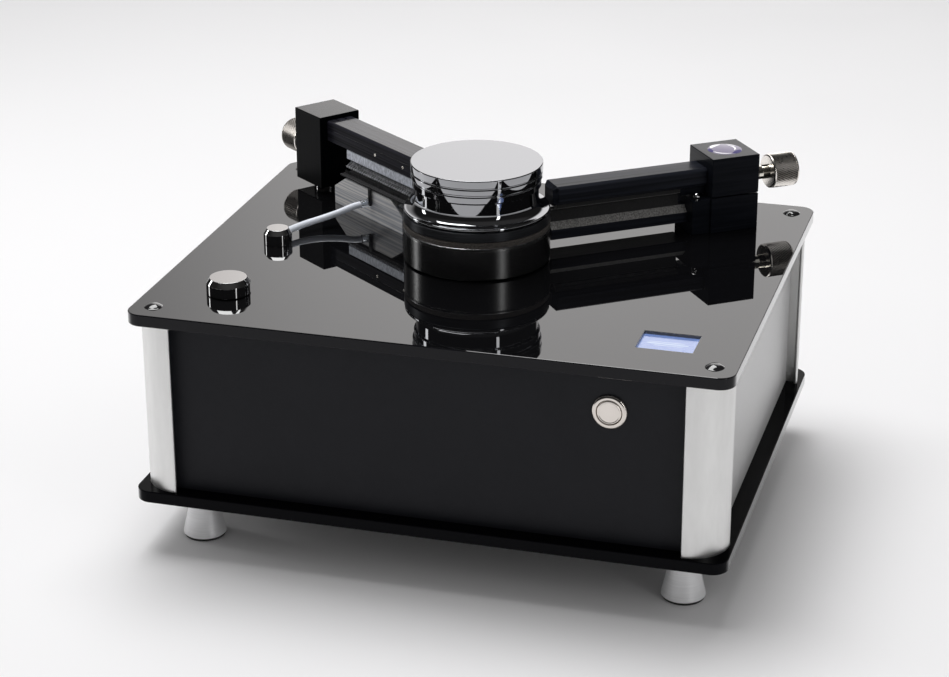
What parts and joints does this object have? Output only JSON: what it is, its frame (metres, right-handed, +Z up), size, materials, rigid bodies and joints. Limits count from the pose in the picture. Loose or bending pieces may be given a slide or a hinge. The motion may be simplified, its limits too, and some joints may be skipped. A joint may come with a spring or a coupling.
{
  "type": "record cleaning machine",
  "caption": "Tabletop wet record cleaner: low black case on tall feet, turning hub with a clamp, a washing brush arm and a drying suction arm.",
  "frame": {"origin": "middle of the deck plate's outline, on the surface that the feet stand on", "axes": "+Z up, +X to the right seen from the front, the front with the power switch faces -Y"},
  "size_m": [0.395, 0.32, 0.2391],
  "materials": {
    "black_gloss": "polished",
    "satin_aluminium": "satin",
    "chrome": "polished",
    "foot_rubber": "matt",
    "screw_black": "gloss",
    "switch_nickel": "satin",
    "display_light": "lit",
    "display_glass": "clear",
    "clear_hose": "clear",
    "black_plastic": "satin",
    "black_anodised": "satin",
    "mat_rubber": "textured",
    "steel": "ground",
    "clamp_metal": "polished",
    "beam_grey": "satin",
    "holder_silver": "brushed",
    "bristle_light": "bristle",
    "bristle_dark": "bristle",
    "bracket_aluminium": "brushed",
    "velvet": "velvet",
    "knob_nickel": "knurled",
    "level_tint": "clear",
    "tank_plastic": "translucent",
    "grey_plastic": "satin",
    "board_green": "satin",
    "supply_metal": "satin"
  },
  "bodies": {
    "case": {"top_plate": "black_gloss", "bottom_plate": "black_gloss", "corner_profiles": "satin_aluminium", "front_panel": "black_gloss", "rear_panel": "black_gloss", "left_panel": "black_gloss", "right_panel": "black_gloss", "feet": "chrome", "foot_pads": "foot_rubber", "plate_screws": "screw_black", "power_switch": "switch_nickel", "display_module": "display_light", "display_window": "display_glass", "selector_encoder": "grey_plastic", "supply_cap": "chrome", "supply_hose": "clear_hose", "hose_sleeve": "clear_hose", "drip_pipe": "black_plastic", "bearing_housing": "supply_metal", "ball_bearings": "steel", "motor_plate": "supply_metal", "gear_motor": "supply_metal", "brush_pivot": "chrome", "lower_brush_trestle": "bracket_aluminium", "lower_brush_bar": "black_plastic", "lower_brush": "bristle_dark", "suction_base_plate": "black_anodised", "suction_lower_block": "black_anodised", "suction_riser": "black_anodised", "rest_stud": "chrome", "suction_pivot": "steel", "lower_suction_beam": "beam_grey", "lower_velvet": "velvet", "waste_tank": "tank_plastic", "vacuum_turbine": "grey_plastic", "fluid_tank": "tank_plastic", "fluid_pump": "grey_plastic", "fluid_tube": "clear_hose", "power_supply": "supply_metal", "control_board": "board_green", "power_inlet": "black_plastic"},
    "platter": {"hub_body": "black_anodised", "record_mat": "mat_rubber", "spindle": "steel"},
    "clamp": {"clamp_body": "clamp_metal", "clamp_skirt": "black_anodised"},
    "brush_arm": {"brush_block": "black_anodised", "brush_beam": "beam_grey", "brush_holder": "holder_silver", "upper_brush": "bristle_light"},
    "brush_lock": {"brush_knob": "knob_nickel"},
    "suction_arm": {"suction_upper_block": "black_anodised", "suction_beam": "beam_grey", "upper_velvet": "velvet", "bubble_level": "level_tint"},
    "suction_lock": {"suction_knob": "knob_nickel"},
    "selector_push": {"selector_plunger": "grey_plastic"},
    "selector": {"selector_knob": "chrome", "selector_shaft": "steel"},
    "switch_button": {"power_button": "switch_nickel"}
  },
  "joints": [
    {"name": "hub_spin", "type": "hinge", "parent": "case", "child": "platter", "pos_m": [-0.008, 0.001, 0.171], "axis": [0, 0, 1], "continuous": true},
    {"name": "clamp_lift", "type": "slide", "parent": "platter", "child": "clamp", "axis": [0, 0, 1], "range_m": [0, 0.03]},
    {"name": "brush_arm_swing", "type": "hinge", "parent": "case", "child": "brush_arm", "pos_m": [-0.15299, 0.11428, 0.1758], "axis": [0, 0, 1], "range_deg": [0, 95]},
    {"name": "brush_lock_turn", "type": "hinge", "parent": "brush_arm", "child": "brush_lock", "pos_m": [-0.16619, 0.12459, 0.199], "axis": [-0.788, 0.6157, 0], "range_deg": [0, 180]},
    {"name": "suction_arm_swing", "type": "hinge", "parent": "case", "child": "suction_arm", "pos_m": [0.13895, 0.11173, 0.1971], "axis": [0, 0, 1], "range_deg": [-95, 0]},
    {"name": "suction_lock_turn", "type": "hinge", "parent": "suction_arm", "child": "suction_lock", "pos_m": [0.15324, 0.12251, 0.2045], "axis": [0.7986, 0.6018, 0], "range_deg": [0, 180]},
    {"name": "selector_press", "type": "slide", "parent": "case", "child": "selector_push", "axis": [0, 0, -1], "range_m": [0, 0.0004], "stiffness_N_per_m": 3000, "springref_m": -0.001},
    {"name": "selector_turn", "type": "hinge", "parent": "selector_push", "child": "selector", "pos_m": [-0.1453, -0.107, 0.171], "axis": [0, 0, 1], "continuous": true},
    {"name": "power_button_press", "type": "slide", "parent": "case", "child": "switch_button", "axis": [0, 1, 0], "range_m": [0, 0.0016], "stiffness_N_per_m": 1500, "springref_m": -0.0013}
  ]
}
